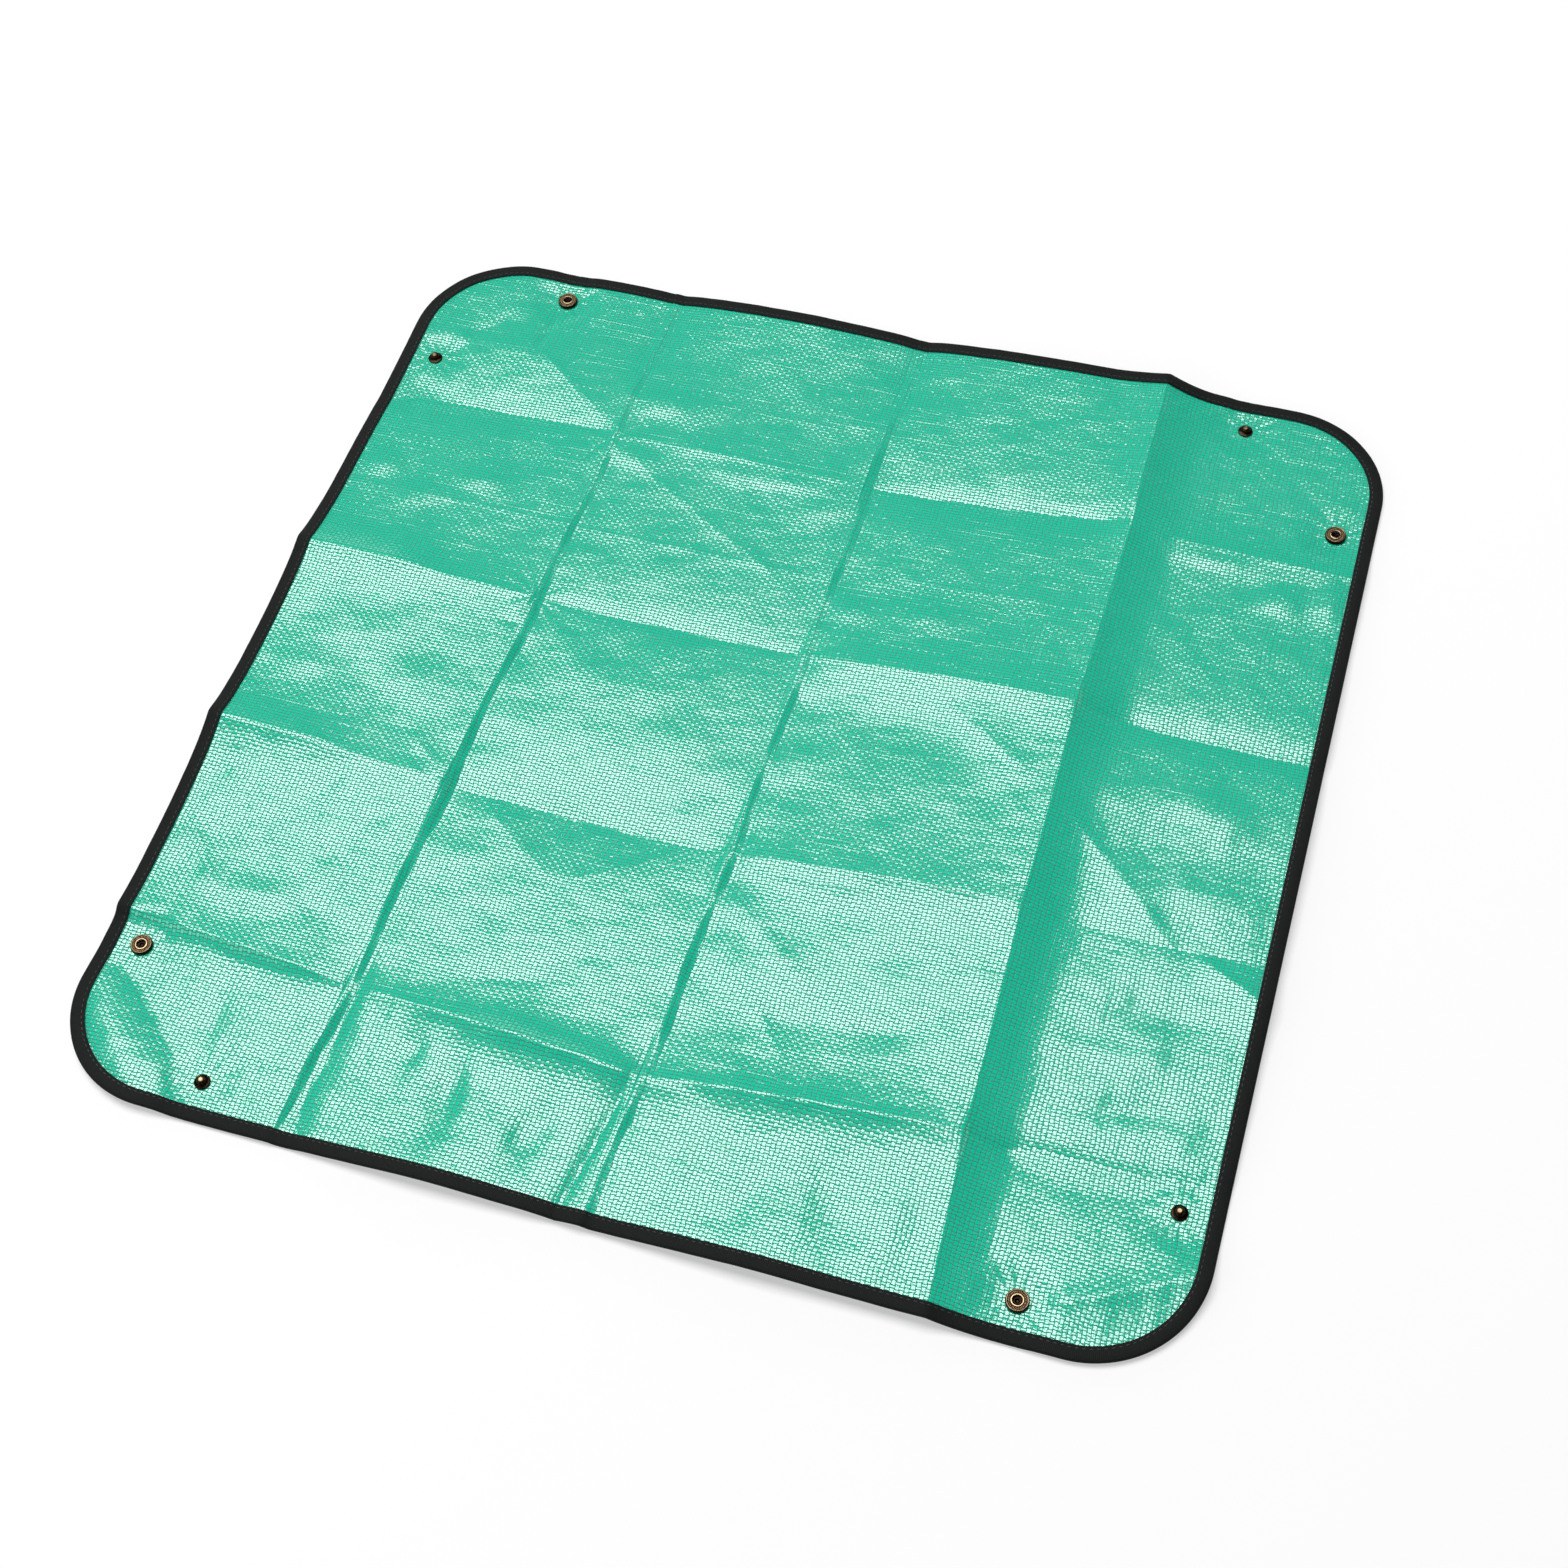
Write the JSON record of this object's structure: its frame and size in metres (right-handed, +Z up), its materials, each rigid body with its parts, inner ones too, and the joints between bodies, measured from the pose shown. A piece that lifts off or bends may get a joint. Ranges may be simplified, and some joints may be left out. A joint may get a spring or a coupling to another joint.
{
  "type": "repotting mat",
  "caption": "Square coated woven mat with a bound edge. Its sides fold up into a tray, and its rounded corners pinch together at brass snaps.",
  "frame": {"origin": "on the table under the middle of the mat, at the centre of its outline", "axes": "+X to the mat's right, +Y away from the viewer, +Z up from the table; the mat lies open"},
  "size_m": [0.68, 0.68, 0.0217],
  "materials": {
    "green_sheet": "glossy coated woven polyethylene",
    "binding_tape": "matt woven tape",
    "antique_brass": "antique, darkened in the hollows",
    "spring_wire": "bright wire"
  },
  "bodies": {
    "floor": {"sheet_floor": "green_sheet"},
    "wall_front": {"sheet_wall_front": "green_sheet", "binding_front": "binding_tape"},
    "wall_right": {"sheet_wall_right": "green_sheet", "binding_right": "binding_tape"},
    "wall_back": {"sheet_wall_back": "green_sheet", "binding_back": "binding_tape"},
    "wall_left": {"sheet_wall_left": "green_sheet", "binding_left": "binding_tape"},
    "ear_back_left": {"sheet_ear_back_left": "green_sheet", "binding_ear_back_left": "binding_tape", "snap_socket_back_left": "antique_brass", "snap_spring_back_left": "spring_wire", "snap_cap_back_left": "antique_brass"},
    "ear_right_back": {"sheet_ear_right_back": "green_sheet", "binding_ear_right_back": "binding_tape", "snap_socket_right_back": "antique_brass", "snap_spring_right_back": "spring_wire", "snap_cap_right_back": "antique_brass"},
    "ear_front_right": {"sheet_ear_front_right": "green_sheet", "binding_ear_front_right": "binding_tape", "snap_socket_front_right": "antique_brass", "snap_spring_front_right": "spring_wire", "snap_cap_front_right": "antique_brass"},
    "ear_left_front": {"sheet_ear_left_front": "green_sheet", "binding_ear_left_front": "binding_tape", "snap_socket_left_front": "antique_brass", "snap_spring_left_front": "spring_wire", "snap_cap_left_front": "antique_brass"},
    "ear_left_back": {"sheet_ear_left_back": "green_sheet", "binding_ear_left_back": "binding_tape", "snap_stud_left_back": "antique_brass", "snap_post_left_back": "antique_brass"},
    "ear_back_right": {"sheet_ear_back_right": "green_sheet", "binding_ear_back_right": "binding_tape", "snap_stud_back_right": "antique_brass", "snap_post_back_right": "antique_brass"},
    "ear_right_front": {"sheet_ear_right_front": "green_sheet", "binding_ear_right_front": "binding_tape", "snap_stud_right_front": "antique_brass", "snap_post_right_front": "antique_brass"},
    "ear_front_left": {"sheet_ear_front_left": "green_sheet", "binding_ear_front_left": "binding_tape", "snap_stud_front_left": "antique_brass", "snap_post_front_left": "antique_brass"}
  },
  "joints": [
    {"name": "fold_front", "type": "hinge", "parent": "floor", "child": "wall_front", "pos_m": [0, -0.23, 0.01455], "axis": [-1, 0, 0], "range_deg": [0, 90]},
    {"name": "fold_right", "type": "hinge", "parent": "floor", "child": "wall_right", "pos_m": [0.23, 0, 0.01232], "axis": [0, -1, 0], "range_deg": [0, 90]},
    {"name": "fold_back", "type": "hinge", "parent": "floor", "child": "wall_back", "pos_m": [0, 0.23, 0.01467], "axis": [1, 0, 0], "range_deg": [0, 90]},
    {"name": "fold_left", "type": "hinge", "parent": "floor", "child": "wall_left", "pos_m": [-0.23, 0, 0.01476], "axis": [0, 1, 0], "range_deg": [0, 90]},
    {"name": "pinch_back_left", "type": "hinge", "parent": "wall_back", "child": "ear_back_left", "pos_m": [-0.23, 0.23, -0.0002], "axis": [0, -1, 0], "range_deg": [0, 45]},
    {"name": "pinch_right_back", "type": "hinge", "parent": "wall_right", "child": "ear_right_back", "pos_m": [0.23, 0.23, -0.0002], "axis": [-1, 0, 0], "range_deg": [0, 45]},
    {"name": "pinch_front_right", "type": "hinge", "parent": "wall_front", "child": "ear_front_right", "pos_m": [0.23, -0.23, -0.0002], "axis": [0, 1, 0], "range_deg": [0, 45]},
    {"name": "pinch_left_front", "type": "hinge", "parent": "wall_left", "child": "ear_left_front", "pos_m": [-0.23, -0.23, -0.0002], "axis": [1, 0, 0], "range_deg": [0, 45]},
    {"name": "pinch_left_back", "type": "hinge", "parent": "wall_left", "child": "ear_left_back", "pos_m": [-0.23, 0.23, -0.0002], "axis": [-1, 0, 0], "range_deg": [0, 45]},
    {"name": "pinch_back_right", "type": "hinge", "parent": "wall_back", "child": "ear_back_right", "pos_m": [0.23, 0.23, -0.0002], "axis": [0, 1, 0], "range_deg": [0, 45]},
    {"name": "pinch_right_front", "type": "hinge", "parent": "wall_right", "child": "ear_right_front", "pos_m": [0.23, -0.23, -0.0002], "axis": [1, 0, 0], "range_deg": [0, 45]},
    {"name": "pinch_front_left", "type": "hinge", "parent": "wall_front", "child": "ear_front_left", "pos_m": [-0.23, -0.23, -0.0002], "axis": [0, -1, 0], "range_deg": [0, 45]}
  ],
  "couplings": [
    {"joint": "fold_right", "follows": "fold_front", "ratio": 1},
    {"joint": "fold_back", "follows": "fold_front", "ratio": 1},
    {"joint": "fold_left", "follows": "fold_front", "ratio": 1},
    {"joint": "pinch_back_left", "follows": "fold_front", "ratio": 0.5},
    {"joint": "pinch_right_back", "follows": "fold_front", "ratio": 0.5},
    {"joint": "pinch_front_right", "follows": "fold_front", "ratio": 0.5},
    {"joint": "pinch_left_front", "follows": "fold_front", "ratio": 0.5},
    {"joint": "pinch_left_back", "follows": "fold_front", "ratio": 0.5},
    {"joint": "pinch_back_right", "follows": "fold_front", "ratio": 0.5},
    {"joint": "pinch_right_front", "follows": "fold_front", "ratio": 0.5},
    {"joint": "pinch_front_left", "follows": "fold_front", "ratio": 0.5}
  ]
}
